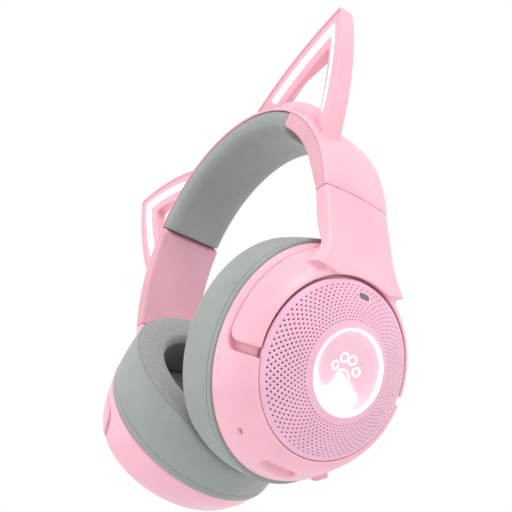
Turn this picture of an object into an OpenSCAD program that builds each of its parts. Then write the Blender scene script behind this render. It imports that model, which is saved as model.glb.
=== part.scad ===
// Wireless cat-ear gaming headset, in millimetres.
// Frame: +X is the wearer's left, -Y is the front, +Z is up. The origin is under the middle of the
// headset, level with its lowest point. The cups are drawn as they hang, leaning in at the bottom.

/* [Headband] */
// Radius of the headband's outer shell at its edges
band_r = 78; // [74:0.5:82]
// Front to back width of the headband
band_w = 36.4; // [32:0.2:42]
// Height of the headband arc's centre above the middle of the ear cups
arc_rise = 78.6; // [74:0.2:84]
// How far round each side the head pad reaches, in degrees from the top
pad_angle = 48.2; // [40:0.2:52]

/* [Ear cups] */
// Sideways distance from the middle of the headset to the centre of the cup's grille
cup_x = 58.9; // [56:0.1:64]
// Lean of the cups at rest, in degrees, with the bottoms closer together than the tops
cup_lean = 30.8; // [24:0.1:32]
// Radius of the round outer grille
grille_r = 35; // [33:0.5:37]
// How far a cup swings on its pivots, in degrees
cup_swing = 8; // [5:1:12]
// How far a slider pulls out of the headband
slider_travel = 22; // [10:1:24]

/* [Cushions] */
// Half of the cushion's front to back size at its face
cushion_ry = 42.8; // [41:0.1:44]
// Half of the cushion's height at its face
cushion_rz = 50.6; // [48:0.1:52]
// Half of the ear opening's front to back size
opening_ry = 28.6; // [26:0.1:30]
// Half of the ear opening's height
opening_rz = 32.7; // [30:0.1:34]

/* [Cat ears] */
// Angle from the top of the headband to the middle of an ear
ear_angle = 45; // [35:1:50]
// Radius of the two arcs that bound an ear
ear_side_r = 162; // [150:1:175]
// Width of an ear's frame from its edge to its window
ear_frame_w = 13; // [11:0.5:14]

/* [Buttons] */
// How far a button presses in
button_travel = 0.6; // [0.3:0.1:0.8]

/* [Hidden] */
$fn = 96;

PINK = [0.96, 0.70, 0.78];
DEEP_PINK = [0.87, 0.60, 0.67];
GREY = [0.58, 0.62, 0.61];
DARK = [0.16, 0.16, 0.18];
STEEL = [0.72, 0.73, 0.75];
GREEN = [0.10, 0.38, 0.20];
LIGHT = [1.00, 0.98, 0.99];

BIG = 400;

// Height of the cup centres above the lowest point of the headset
cup_z = 33.12;
arc_z = cup_z + arc_rise;

// Headband section. Its layers, from the outside in, are shell, spring band, inner frame and pad.
band_front = -17.2;
band_back = band_front + band_w;
band_mid = (band_front + band_back) / 2;
crown = 1.4;
crown_edge = 1.4;
crown_steps = 8;
seam_r = band_r - 1.5;
shell_in = band_r - 1.8;
rim_wall = 2;
web_out = seam_r - 1.8;
web_in = web_out - 1.8;
arm_in = 69.3;
arm_wall = 1.6;
arm_start = 48.7;
joint_z = -6.85;
joint_gap = 0.3;
arm_taper_z = 11.5;
arm_end_in = 71.3;
arm_hollow_top = 25;
pad_crown_r = 65.8;
cover_angle = 53.8;
cover_ys = [band_mid - 11.9, band_mid + 11.9];
cover_r = 2.6;
cover_t = 1;
screw_head_r = 2.2;

// Slider. Its straight strip leans outward as it goes down, so that the cups never meet.
slide_lean = 5;
strip_x = 73.6;
strip_w = 16;
strip_t = 1.5;
strip_up = 23;
strip_down = 18;
guide_from = -4.5;
guide_to = 9;
strip_gap = 0.1;
notch_pitch = 2.75;
slider_screw_zs = [-15, -10.5];

// Cup shell. Each section is [x, half depth, half height, inset share of x, inset share of radius].
shell_sections = [
    [0, 36.0, 36.0, 1, 0.25],
    [-1.4, 38.0, 38.0, 0.85, 0.55],
    [-4.2, 39.6, 40.6, 0.45, 0.85],
    [-9, 41.0, 43.9, 0.2, 0.95],
    [-14, 41.9, 46.9, 0.1, 1],
    [-20.3, 42.7, 48.8, 0, 1]
];
shell_back = -20.3;
shell_wall = 2.2;
flange_w = 3.6;
yoke_t = 3;
yoke_back = -14.5;
yoke_low = -2;
yoke_bore = 35.75;
yoke_bore_up = 0.45;
slot_low = -5.5;
yoke_gap = 0.5;
swing_gap = 1.1;
neck_top_z = arc_rise + joint_z - joint_gap;
neck_flare_r = 42;

// Pivot of a cup in its yoke
pivot_x = -9;
pivot_z = 2.5;
pivot_r = 1.5;
pivot_gap = 0.05;
pivot_out = 39.8;
pivot_in = 33.6;

// Dome of the grille and what sits in its middle
dome_r = 70;
dome_t = 1.6;
dome_drop = sqrt(dome_r * dome_r - grille_r * grille_r);
ring_r = 16.8;
ring_w = 1.2;
dish_r = 16.1;
dish_edge_x = sqrt(dome_r * dome_r - ring_r * ring_r) - dome_drop;
dish_floor_x = dish_edge_x - 2.1;
emblem_x = dish_floor_x - 0.7;
hub_x = 3.7;
hub_r = 19;

// Cushion and speaker plate. Each cushion section is [x, half depth, half height].
cushion_back = shell_back - 0.5;
cushion_front = -46.6;
cushion_sections = [
    [cushion_back, cushion_ry - 0.5, cushion_rz - 2.1],
    [-30, cushion_ry + 0.4, cushion_rz - 0.6],
    [-43, cushion_ry + 0.1, cushion_rz],
    [-45.4, cushion_ry - 1.3, cushion_rz - 1.4],
    [cushion_front, cushion_ry - 5.5, cushion_rz - 6]
];
baffle_t = 2;
baffle_ry = 40.5;
baffle_rz = 46.6;
baffle_screw_places = [for (a = [45:90:315]) [38.6 * cos(a), 38.6 * sin(a) + 6.1 * sign(sin(a))]];
ring_from = shell_back - 3.3;
ring_to = shell_back - baffle_t - 0.05;
driver_r = 25;
midline_gap = 0.5;

// Ear outline: two arcs that meet at the tip, in a frame whose +Z runs out through the tip
ear_side_x = 120.2;
ear_side_z = 25.1;
ear_front = -14;
ear_rim_w = 1.2;
ear_rim_h = 0.8;
ear_depth_base = 10.2;
ear_sill_r = band_r + 6.5;
ear_seat_r = band_r + 0.9;
ear_low = 60;
ear_tip_cut = 133;
strip_inset = 5.8;
light_w = 3.2;
light_front = ear_front + 1.6;
light_back = light_front + 1.2;
light_low = 81;
ear_cover_inset = 1.6;
ear_cover_wall = 1.4;
ear_back_lean = 2.6;

// Buttons, on the left cup's rear flank: angle below the horizontal of each
button_x = -13.6;
button_angles = [66, 47, 28];
button_l = 7.5;
button_d = 3.6;
button_gap = 0.3;
button_flange = 0.9;
button_outs = [46.8, 45.2, 43.6];
button_cap_h = 4.2;
button_flange_h = 1.2;
button_hole_r = 36;

// Charging port, on the bottom of the left cup
port_x = -8;
port_floor = 40.0;
port_turn = -8;

// ---------- Shared shapes ----------

// Puts a child drawn for the left side on either side
module side(left) {
    if (left) children();
    else mirror([1, 0, 0]) children();
}

// Frame of a cup: +X points out through the grille, +Z up the cup, origin at the grille's centre
module in_cup(left) {
    side(left) translate([cup_x, 0, cup_z]) rotate([0, cup_lean, 0]) children();
}

// Frame of the headband arc's centre
module in_arc() {
    translate([0, 0, arc_z]) children();
}

// Extrudes an outline drawn as (y, z) from x0 to x1
module along_x(x0, x1) {
    translate([x0, 0, 0]) rotate([90, 0, 90]) linear_extrude(x1 - x0) children();
}

// Extrudes an outline drawn as (x, z) from y0 to y1
module along_y(y0, y1) {
    translate([0, y1, 0]) rotate([90, 0, 0]) linear_extrude(y1 - y0) children();
}

// Turns a profile drawn as (radius, x) round the cup's axis
module turned() {
    rotate([0, 90, 0]) rotate_extrude() children();
}

// Turns a profile drawn as (radius, -y) round the headband arc's axis
module arched() {
    rotate([90, 0, 0]) rotate_extrude($fn = 160) children();
}

// A box from one corner to the opposite one
module block(low, high) {
    translate(low) cube(high - low);
}

// A rounded slot outline, as long as two circles of radius r whose centres are 2 d apart
module slot2d(r, d) {
    for (s = [-1, 1]) translate([s * d, 0]) circle(r);
    square([2 * d, 2 * r], center = true);
}

// A tall oval outline with half width ry and half height rz, made of round ends and straight sides
module oval2d(ry, rz) {
    for (s = [-1, 1]) translate([0, s * (rz - ry)]) circle(ry);
    square([2 * ry, 2 * (rz - ry)], center = true);
}

// Solid through a row of ovals [x, half depth, half height], listed from the outside inwards
module loft(sections, n = 72) {
    rows = len(sections);
    last = n * (rows - 1);
    polyhedron(
        points = [for (s = sections, i = [0:n - 1]) let (a = 360 * i / n)
            [s[0], s[1] * cos(a), s[2] * sin(a)]],
        faces = concat(
            [[for (i = [0:n - 1]) n - 1 - i]],
            [[for (i = [0:n - 1]) last + i]],
            [for (r = [0:rows - 2], i = [0:n - 1]) let (j = (i + 1) % n)
                [n * r + i, n * r + j, n * (r + 1) + j]],
            [for (r = [0:rows - 2], i = [0:n - 1]) let (j = (i + 1) % n)
                [n * r + i, n * (r + 1) + j, n * (r + 1) + i]]
        )
    );
}

// The part of the arc that lies between two angles from the top, on the +X side
module sector(from, to) {
    reach = 160;
    steps = 6;
    along_y(-60, 60)
        polygon(concat([[0, 0]], [
            for (i = [0:steps]) let (a = from + (to - from) * i / steps) reach * [sin(a), cos(a)]
        ]));
}

// Everything in the arc's frame above the joint with the yokes
module above_joint(gap = 0) {
    block([-BIG, -60, joint_z + gap], [BIG, 60, BIG]);
}

// ---------- Headband ----------

// Outline of the band's crown from front to back, raised by d, drawn as (radius, -y)
function crown_line(d = 0) = [for (i = [0:crown_steps]) let (t = i / crown_steps)
    [band_r + d + crown * (1 - pow(2 * t - 1, 2)),
     -(band_front + crown_edge + (band_w - 2 * crown_edge) * t)]];

// Section of the outer shell, drawn as (radius, -y)
module shell_section() {
    polygon(concat(
        [[seam_r, -band_front]],
        crown_line(),
        [[seam_r, -band_back], [seam_r, -(band_back - rim_wall)],
         [shell_in, -(band_back - rim_wall - 1)], [shell_in, -(band_front + rim_wall + 1)],
         [seam_r, -(band_front + rim_wall)]]
    ));
}

module headband_outer_shell() {
    color(PINK) in_arc() intersection() {
        arched() shell_section();
        above_joint(0);
    }
}

// The trough that carries the spring band, and the two hollow arms below the pad
module headband_inner_frame() {
    color(DEEP_PINK) in_arc() difference() {
        intersection() {
            union() {
                arched() translate([web_in, -band_back]) square([web_out - web_in, band_w]);
                for (y = [band_front, band_back - rim_wall])
                    arched() translate([web_in, -y - rim_wall])
                        square([seam_r - 0.05 - web_in, rim_wall]);
                for (left = [true, false]) side(left) arm();
            }
            above_joint();
        }
        for (left = [true, false]) side(left) {
            left_of_taper(0);
            arm_hollow();
            for (y = cover_ys) at_arm(y) {
                translate([0, 0, -1]) cylinder(r = cover_r + 0.05, h = 1 + cover_t);
                cylinder(r = screw_head_r + 0.1, h = cover_t + 1.25);
                cylinder(r = 1.3, h = 12);
            }
        }
    }
}

// Lower arm: the inner frame thickens here to hold the slider
module arm() {
    intersection() {
        arched() translate([arm_in, -band_back]) square([web_in + 0.5 - arm_in, band_w]);
        sector(arm_start, 100);
    }
}

// The space inside an arm in which the slider runs
module arm_hollow() {
    difference() {
        intersection() {
            arched() translate([arm_in + arm_wall, -(band_back - 3)]) square([10, band_w - 6]);
            block([0, -60, -BIG], [BIG, 60, arm_hollow_top]);
        }
        left_of_taper(arm_wall);
    }
}

// Everything inside an arm's inner face where it gets thinner towards the joint, moved out by d
module left_of_taper(d) {
    low = joint_z - 1;
    along_y(-60, 60) polygon([
        [arm_in - 10, arm_taper_z], [d + sqrt(arm_in * arm_in - arm_taper_z * arm_taper_z), arm_taper_z],
        [d + arm_end_in, low], [arm_in - 10, low]
    ]);
}

// Frame of a screw cover: +Z points outward through the arm, with its origin on the arm's inner face
module at_arm(y) {
    rotate([0, cover_angle, 0]) translate([0, y, arm_in]) children();
}

module headband_screw_covers() {
    color(DEEP_PINK) in_arc()
        for (left = [true, false], y = cover_ys) side(left) at_arm(y)
            translate([0, 0, 0.05]) cylinder(r = cover_r, h = cover_t - 0.1);
}

module headband_screws() {
    color(STEEL) in_arc()
        for (left = [true, false], y = cover_ys) side(left) at_arm(y) {
            translate([0, 0, cover_t]) cylinder(r = screw_head_r, h = 1.2);
            translate([0, 0, cover_t + 1]) cylinder(r = 1.2, h = 3.4);
        }
}

module headband_spring_band() {
    color(STEEL) in_arc() intersection() {
        arched() translate([web_out + 0.05, -(band_mid + 11)]) square([1, 22]);
        union() {
            sector(-68, 0);
            sector(0, 68);
        }
    }
}

// Cable from cup to cup, laid beside the spring band
module headband_wire() {
    color(DARK) in_arc() intersection() {
        arched() translate([web_out + 0.7, -(band_mid + 13.4)]) circle(r = 0.6);
        union() {
            sector(-68, 0);
            sector(0, 68);
        }
    }
}

module headband_pad() {
    color(GREY) in_arc() intersection() {
        arched() pad_section();
        union() {
            sector(-pad_angle, 0);
            sector(0, pad_angle);
        }
    }
}

// Section of the head pad: flat against the frame, crowned towards the head
module pad_section() {
    steps = 10;
    half = band_w / 2 - 1;
    edge_h = 2;
    crown_h = web_in - pad_crown_r - edge_h;
    polygon(concat(
        [[web_in - 0.05, -band_mid - half]],
        [for (i = [0:steps]) let (t = 2 * i / steps - 1)
            [web_in - edge_h - crown_h * sqrt(1 - pow(t, 4)), -band_mid + half * t]],
        [[web_in - 0.05, -band_mid + half]]
    ));
}

// ---------- Cat ears ----------

// Frame of an ear: +Z runs out through the ear's tip, -Y is its lit face
module in_ear(left) {
    side(left) in_arc() rotate([0, ear_angle, 0]) children();
}

// Outline of an ear, inset by d from its edge, drawn as (x, z)
module ear2d(d, low = ear_low) {
    intersection() {
        translate([ear_side_x, ear_side_z]) circle(r = ear_side_r - d, $fn = 360);
        translate([-ear_side_x, ear_side_z]) circle(r = ear_side_r - d, $fn = 360);
        translate([0, (low + ear_tip_cut) / 2]) square([100, ear_tip_cut - low], center = true);
    }
}

// Everything behind the ear's sloping back, which is set in by d
module behind_ear(d = 0) {
    translate([0, ear_front + ear_depth_base - d, ear_seat_r]) rotate([ear_back_lean, 0, 0])
        block([-60, 0, -60], [60, 60, 90]);
}

// Everything inside the band's crown, where the ear is seated
module under_ear() {
    line = crown_line(0.03);
    arched() polygon(concat([[0, line[0][1]]], line, [[0, line[len(line) - 1][1]]]));
}

module ear_frame(left) {
    color(PINK) in_ear(left) difference() {
        along_y(ear_front, ear_front + ear_depth_base + 2) ear2d(0);
        along_y(ear_front - 1, ear_front + ear_rim_h) ear2d(ear_rim_w);
        along_y(-60, 60) difference() {
            ear2d(ear_frame_w, 0);
            circle(r = ear_sill_r);
        }
        along_y(ear_front, light_back + 1.2) difference() {
            ear2d(strip_inset, light_low);
            ear2d(strip_inset + light_w, 0);
        }
        along_y(light_back + 1, 20) difference() {
            ear2d(ear_cover_inset, light_low);
            ear2d(ear_frame_w - ear_cover_wall, 0);
        }
        behind_ear(0);
        under_ear();
    }
}

module ear_light_strip(left) {
    color(LIGHT) in_ear(left) along_y(light_front, light_back) difference() {
        ear2d(strip_inset + 0.05, light_low + 0.1);
        ear2d(strip_inset + light_w - 0.05, 0);
    }
}

module ear_led_board(left) {
    color(GREEN) in_ear(left) along_y(light_back + 0.1, light_back + 0.9) difference() {
        ear2d(strip_inset + 0.3, light_low + 0.5);
        ear2d(strip_inset + light_w - 0.3, 0);
    }
}

module ear_rear_cover(left) {
    color(PINK) in_ear(left) difference() {
        intersection() {
            along_y(light_back + 1.1, 20) difference() {
                ear2d(ear_cover_inset + 0.05, light_low + 0.1);
                ear2d(ear_frame_w - ear_cover_wall - 0.05, 0);
            }
            behind_ear(1.4);
        }
        behind_ear(0.1);
    }
}

module ear_frame_left() { ear_frame(true); }
module ear_frame_right() { ear_frame(false); }
module ear_rear_cover_left() { ear_rear_cover(true); }
module ear_rear_cover_right() { ear_rear_cover(false); }
module ear_light_strip_left() { ear_light_strip(true); }
module ear_light_strip_right() { ear_light_strip(false); }
module ear_led_board_left() { ear_led_board(true); }
module ear_led_board_right() { ear_led_board(false); }

// ---------- Sliders ----------

// Frame of a slider: -Z is the way it pulls out, with its origin on the strip's centre line
module in_slider(left) {
    side(left) in_arc() translate([strip_x, band_mid, 0]) rotate([0, -slide_lean, 0]) children();
}

module slider_guide(left) {
    color(DARK) in_slider(left) difference() {
        block([-1.35, -strip_w / 2 - 3.5, guide_from], [1.35, strip_w / 2 + 3.5, guide_to]);
        strip_bar(strip_gap);
        block([-2, -strip_w / 2 - 2.4, guide_from + 1.5], [2, -strip_w / 2, guide_to - 1.5]);
    }
}

// The strip's outline, wider by gap on every face
module strip_bar(gap = 0) {
    block([-strip_t / 2 - gap, -strip_w / 2 - gap, -strip_down],
          [strip_t / 2 + gap, strip_w / 2 + gap, strip_up]);
}

module slider_strip(left) {
    color(STEEL) in_slider(left) difference() {
        strip_bar();
        for (i = [0:8]) translate([0, -strip_w / 2, i * notch_pitch])
            rotate([0, 90, 0]) cylinder(r = 0.8, h = 4, center = true);
        for (z = slider_screw_zs) translate([0, 0, z]) rotate([0, 90, 0])
            cylinder(r = 1.2, h = 4, center = true);
    }
}

// Leaf spring that clicks in the strip's notches
module detent_spring(left) {
    leaf_y = -strip_w / 2 - 1.1;
    color(STEEL) in_slider(left) {
        block([-1.2, leaf_y - 0.4, guide_from + 1.6], [1.2, leaf_y, guide_to - 1.6]);
        intersection() {
            translate([0, leaf_y, 0]) rotate([0, 90, 0]) cylinder(r = 1, h = 2.4, center = true);
            block([-2, leaf_y - 0.1, -4], [2, leaf_y + 2, 4]);
        }
    }
}

module slider_screws(left) {
    color(STEEL) in_slider(left) for (z = slider_screw_zs) translate([0, 0, z]) rotate([0, 90, 0]) {
        translate([0, 0, -strip_t / 2 - 1.1]) cylinder(r = 2, h = 1.05);
        translate([0, 0, -strip_t / 2 - 0.1]) cylinder(r = 1.15, h = 3.4);
    }
}

module slider_guide_left() { slider_guide(true); }
module slider_guide_right() { slider_guide(false); }
module detent_spring_left() { detent_spring(true); }
module detent_spring_right() { detent_spring(false); }
module slider_strip_left() { slider_strip(true); }
module slider_strip_right() { slider_strip(false); }
module slider_screws_left() { slider_screws(true); }
module slider_screws_right() { slider_screws(false); }

// ---------- Yokes ----------

// Solid bounded by the cup's outer surface, set in by d (negative d swells it)
module cup_body(d) {
    loft([for (s = shell_sections) [s[0] - d * s[3], s[1] - d * s[4], s[2] - d * s[4]]]);
}

// Upper half of the cup's skin, from the grille's edge back to the yoke's edge
module yoke_saucer() {
    difference() {
        cup_body(0);
        cup_body(yoke_t);
        along_x(-60, 10) translate([0, yoke_bore_up]) circle(r = yoke_bore);
        block([-60, -80, -80], [yoke_back, 80, 80]);
        block([-60, -80, -80], [60, 80, yoke_low]);
    }
}

// Outline of the neck as seen along the cup's axis, flaring into the yoke with two fillets
module neck_plan() {
    flare = 12;
    offset(r = -flare) offset(delta = flare) {
        intersection() {
            circle(r = neck_flare_r);
            translate([0, 60]) square([120, 80], center = true);
        }
        translate([band_front, 20]) square([band_w, 70]);
    }
}

// Outline of the neck as seen from the front, drawn as (x, z) from the cup centre's height
module neck_profile() {
    out_x = sqrt(band_r * band_r - joint_z * joint_z);
    polygon([
        [arm_end_in, neck_top_z], [out_x, neck_top_z], [out_x + 0.4, 60], [out_x + 0.1, 50],
        [78.0, 43], [77.9, 37], [77.2, 33.5], [72.5, 35], [73.0, 44], [71.0, 52], [arm_end_in - 0.6, 60]
    ]);
}

module neck() {
    difference() {
        intersection() {
            side(true) translate([cup_x, 0, cup_z]) rotate([0, cup_lean, 0])
                along_x(-40, 12) neck_plan();
            translate([0, 0, cup_z]) along_y(-60, 60) neck_profile();
        }
        in_cup(true) difference() {
            cup_body(-yoke_gap);
            block([yoke_back, -80, -80], [60, 80, 80]);
        }
        in_cup(true) cup_body(yoke_t);
        in_slider(true) strip_bar(0.02);
        in_slider(true) for (z = slider_screw_zs) translate([0, 0, z]) rotate([0, 90, 0]) {
            translate([0, 0, -20]) cylinder(r = 2.1, h = 20 - strip_t / 2);
            cylinder(r = 1.15, h = 3.2);
        }
    }
}

module yoke(left) {
    color(PINK) side(left) {
        in_cup(true) difference() {
            yoke_saucer();
            for (s = [-1, 1]) translate([pivot_x, 0, pivot_z]) rotate([90 * s, 0, 0])
                translate([0, 0, 30]) cylinder(r = pivot_r, h = pivot_out - 30);
        }
        neck();
    }
}

module pivot_pins(left) {
    color(STEEL) in_cup(left) for (s = [-1, 1]) translate([pivot_x, 0, pivot_z])
        rotate([90 * s, 0, 0]) translate([0, 0, pivot_in]) cylinder(r = pivot_r, h = pivot_out - pivot_in);
}

module yoke_left() { yoke(true); }
module yoke_right() { yoke(false); }
module pivot_pins_left() { pivot_pins(true); }
module pivot_pins_right() { pivot_pins(false); }

// ---------- Cups ----------

// Outside of the cup housing: full below the yoke, sunk under it above. Below the pivots the step leans
// back as well, so that the low ends of the yoke clear it when the cup swings.
module housing_outside() {
    difference() {
        cup_body(0);
        difference() {
            union() {
                block([yoke_back - yoke_gap, -80, slot_low], [60, 80, 80]);
                translate([pivot_x, 0, pivot_z]) rotate([0, cup_swing, 0])
                    block([yoke_back - yoke_gap - pivot_x, -80, slot_low - pivot_z], [0, 80, 0]);
            }
            cup_body(yoke_t + swing_gap);
        }
    }
}

module cup_housing(left) {
    back_section = shell_sections[len(shell_sections) - 1];
    color(PINK) in_cup(left) difference() {
        housing_outside();
        cup_body(yoke_t + yoke_gap + shell_wall);
        along_x(shell_back - 5, shell_back + 1) oval2d(back_section[1] - shell_wall - flange_w,
                                                       back_section[2] - shell_wall - flange_w);
        along_x(-6, 10) circle(r = grille_r - 2.5);
        along_x(-1.9, 10) circle(r = grille_r + 0.15);
        for (s = [-1, 1]) translate([pivot_x, 0, pivot_z]) rotate([90 * s, 0, 0])
            translate([0, 0, 30]) cylinder(r = pivot_r + pivot_gap, h = 30);
        for (p = baffle_screw_places) translate([shell_back - 1, p[0], p[1]]) rotate([0, 90, 0])
            cylinder(r = 1.1, h = 4.2);
        if (left) {
            port_pocket();
            mic_hole();
            for (i = [0:2]) at_button(i) button_hole(button_outs[i]);
        }
    }
}

// Frame of button i: +Z points out of the rear flank, +X along the rim
module at_button(i) {
    translate([button_x, 0, 0]) rotate([-90 - button_angles[i], 0, 0]) rotate([0, 0, 90]) children();
}

// Opening of a button whose cap ends at radius out, with the wider pocket in which its flange moves
module button_hole(out) {
    flat = (button_l - button_d) / 2;
    translate([0, 0, button_hole_r]) linear_extrude(20) slot2d(button_d / 2 + button_gap, flat);
    translate([0, 0, button_hole_r])
        linear_extrude(out - button_cap_h + button_gap - button_hole_r)
            slot2d(button_d / 2 + button_flange + button_gap, flat);
}

module button(i) {
    flat = (button_l - button_d) / 2;
    cap_z = button_outs[i] - button_cap_h;
    color(PINK) in_cup(true) at_button(i) {
        translate([0, 0, cap_z]) linear_extrude(button_cap_h) slot2d(button_d / 2, flat);
        translate([0, 0, cap_z - button_flange_h]) linear_extrude(button_flange_h)
            slot2d(button_d / 2 + button_flange, flat);
    }
}

module power_button() { button(0); }
module volume_up_button() { button(1); }
module volume_down_button() { button(2); }

// Pocket in the bottom of the left cup, round the charging socket
module port_pocket() {
    translate([port_x, 0, 0]) rotate([port_turn, 0, 0]) {
        translate([0, 0, -60]) linear_extrude(60 - port_floor) slot2d_tall(3.1, 4.9);
        translate([0, 0, -60]) linear_extrude(40) slot2d_tall(1.75, 2.9);
    }
}

// A rounded slot outline that is long in y
module slot2d_tall(r, d) {
    rotate(90) slot2d(r, d);
}

module usb_socket() {
    color(STEEL) in_cup(true) translate([port_x, 0, 0]) rotate([port_turn, 0, 0])
        translate([0, 0, 0.1 - port_floor]) linear_extrude(7.2) difference() {
            slot2d_tall(1.7, 2.9);
            slot2d_tall(1.35, 2.9);
        }
}

module mic_hole() {
    at_mic() cylinder(r = 0.8, h = 20);
}

// Frame of the microphone: +Z points out of the cup through its hole
module at_mic() {
    translate([-9.5, 0, 0]) rotate([140, 0, 0]) translate([0, 0, 31]) children();
}

module microphone() {
    color(DARK) in_cup(true) at_mic() {
        translate([0, 0, 1]) cylinder(r = 3, h = 2.2);
        cylinder(r = 2.2, h = 1.2);
    }
}

module baffle(left) {
    color(DARK) in_cup(left) difference() {
        along_x(shell_back - baffle_t, shell_back) oval2d(baffle_ry, baffle_rz);
        along_x(shell_back - baffle_t - 1, shell_back + 1) circle(r = driver_r + 0.1);
        for (a = [0:45:315]) along_x(shell_back - baffle_t - 1, shell_back + 1)
            rotate(a) translate([29.5, 0]) circle(r = 1.8);
        for (p = baffle_screw_places) translate([0, p[0], p[1]]) rotate([0, 90, 0]) {
            translate([0, 0, shell_back - baffle_t - 1]) cylinder(r = 2, h = 2.05);
            translate([0, 0, shell_back - baffle_t - 1]) cylinder(r = 1.15, h = 5);
        }
    }
}

module baffle_screws(left) {
    color(STEEL) in_cup(left) for (p = baffle_screw_places)
        translate([0, p[0], p[1]]) rotate([0, 90, 0]) translate([0, 0, shell_back - baffle_t]) {
            cylinder(r = 1.9, h = 1);
            cylinder(r = 1.05, h = 5);
        }
}

module cushion_ring(left) {
    color(DARK) in_cup(left) along_x(ring_from, ring_to) difference() {
        oval2d(baffle_ry - 0.2, baffle_rz - 0.2);
        oval2d(31, 35);
    }
}

module driver_cloth(left) {
    color(GREY) in_cup(left) along_x(ring_from + 0.1, ring_from + 0.7) oval2d(30.9, 34.9);
}

module driver(left) {
    color(DARK) in_cup(left) turned() polygon([
        [22.5, -22.4], [25, -22.4], [25, -20.2], [22, -18], [21, -16.5], [11, -16.5], [11, -9.6],
        [0, -9.6], [0, -18.5], [20, -18.5], [22.5, -20.8]
    ]);
}

module driver_diaphragm(left) {
    color(LIGHT) in_cup(left) turned() polygon([
        [0, -21.9], [6, -21.5], [9, -20.9], [15, -21.6], [22.4, -21.7], [22.4, -21.4], [15, -21.3],
        [9, -20.6], [6, -21.2], [0, -21.6]
    ]);
}

// Closed ring of foam under a soft cover. Its lower edge rests against the other cushion.
module ear_cushion(left) {
    color(GREY) side(left) intersection() {
        in_cup(true) difference() {
            loft(cushion_sections);
            loft([[0, opening_ry, opening_rz], [cushion_front - 2, opening_ry, opening_rz]]);
            along_x(ring_from - 0.1, 0) oval2d(baffle_ry + 0.3, baffle_rz + 0.3);
        }
        block([midline_gap, -100, -20], [200, 100, 200]);
    }
}

// Height of a sphere of radius r about the dome's centre, at a distance d from the cup's axis
function dome_x(d, r) = sqrt(r * r - d * d) - dome_drop;

// Domed cover with a hub for the lights behind its middle
module grille(left) {
    hole = ring_r + ring_w / 2 + 0.05;
    skirt = grille_r - dome_t;
    steps = 8;
    color(PINK) in_cup(left) turned() polygon(concat(
        [for (i = [0:steps]) let (d = hole + (grille_r - hole) * i / steps) [d, dome_x(d, dome_r)]],
        [[grille_r, -1.8], [skirt, -1.8]],
        [for (i = [0:steps]) let (d = skirt + (hub_r - skirt) * i / steps)
            [d, dome_x(d, dome_r - dome_t)]],
        [[hub_r, 1.2], [0, 1.2], [0, 2.2], [hole, 2.2]]
    ));
}

module light_ring(left) {
    color(LIGHT) in_cup(left) turned() {
        translate([ring_r - ring_w / 2, hub_x]) square([ring_w, dish_edge_x - hub_x]);
        translate([ring_r, dish_edge_x]) circle(r = ring_w / 2);
    }
}

module centre_cap(left) {
    color(PINK) in_cup(left) difference() {
        turned() polygon([
            [0, hub_x], [dish_r, hub_x], [dish_r, dish_edge_x], [15, 6.5], [13, 5.75],
            [10.5, dish_floor_x], [0, dish_floor_x]
        ]);
        along_x(emblem_x - 0.05, 12) emblem2d(0.05);
    }
}

// Generic paw print made of thin rings: one pad and four toes, drawn as (y, z)
module emblem2d(grow = 0) {
    line = 0.7;
    for (t = [[-5.4, 1.2, 1.9], [-2.1, 4.9, 2.1], [2.1, 4.9, 2.1], [5.4, 1.2, 1.9], [0, -2.6, 3.5]])
        translate([t[0], t[1]]) difference() {
            circle(r = t[2] + grow);
            circle(r = t[2] - line - grow);
        }
}

module emblem_light(left) {
    color(LIGHT) in_cup(left) along_x(emblem_x, dish_floor_x + 0.15) emblem2d();
}

module cup_led_board(left) {
    color(GREEN) in_cup(left) {
        along_x(2.25, 3.2) circle(r = 17.2);
        for (a = [0:45:315]) rotate([a, 0, 0]) block([3.15, ring_r - 1.2, -0.8], [3.6, ring_r, 0.8]);
    }
}

module main_board() {
    color(GREEN) in_cup(true) {
        block([-7.6, -18, -29], [-6.4, 18, 20]);
        block([-6.45, -8, -6], [-5.2, 4, 6]);
        block([-6.45, 6, 8], [-5.4, 14, 14]);
        block([-6.45, -12, -24], [-5.6, -4, -16]);
    }
}

module battery() {
    color([0.75, 0.76, 0.80]) in_cup(false) {
        block([-7.4, -15, -18], [-2.6, 15, 18]);
        block([-6.4, -9, 17.5], [-3.6, 9, 20]);
    }
}

module cup_housing_left() { cup_housing(true); }
module cup_housing_right() { cup_housing(false); }
module baffle_left() { baffle(true); }
module baffle_right() { baffle(false); }
module baffle_screws_left() { baffle_screws(true); }
module baffle_screws_right() { baffle_screws(false); }
module cushion_ring_left() { cushion_ring(true); }
module cushion_ring_right() { cushion_ring(false); }
module driver_cloth_left() { driver_cloth(true); }
module driver_cloth_right() { driver_cloth(false); }
module driver_left() { driver(true); }
module driver_right() { driver(false); }
module driver_diaphragm_left() { driver_diaphragm(true); }
module driver_diaphragm_right() { driver_diaphragm(false); }
module ear_cushion_left() { ear_cushion(true); }
module ear_cushion_right() { ear_cushion(false); }
module grille_left() { grille(true); }
module grille_right() { grille(false); }
module light_ring_left() { light_ring(true); }
module light_ring_right() { light_ring(false); }
module centre_cap_left() { centre_cap(true); }
module centre_cap_right() { centre_cap(false); }
module emblem_light_left() { emblem_light(true); }
module emblem_light_right() { emblem_light(false); }
module cup_led_board_left() { cup_led_board(true); }
module cup_led_board_right() { cup_led_board(false); }

// ---------- Assembly ----------

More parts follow.
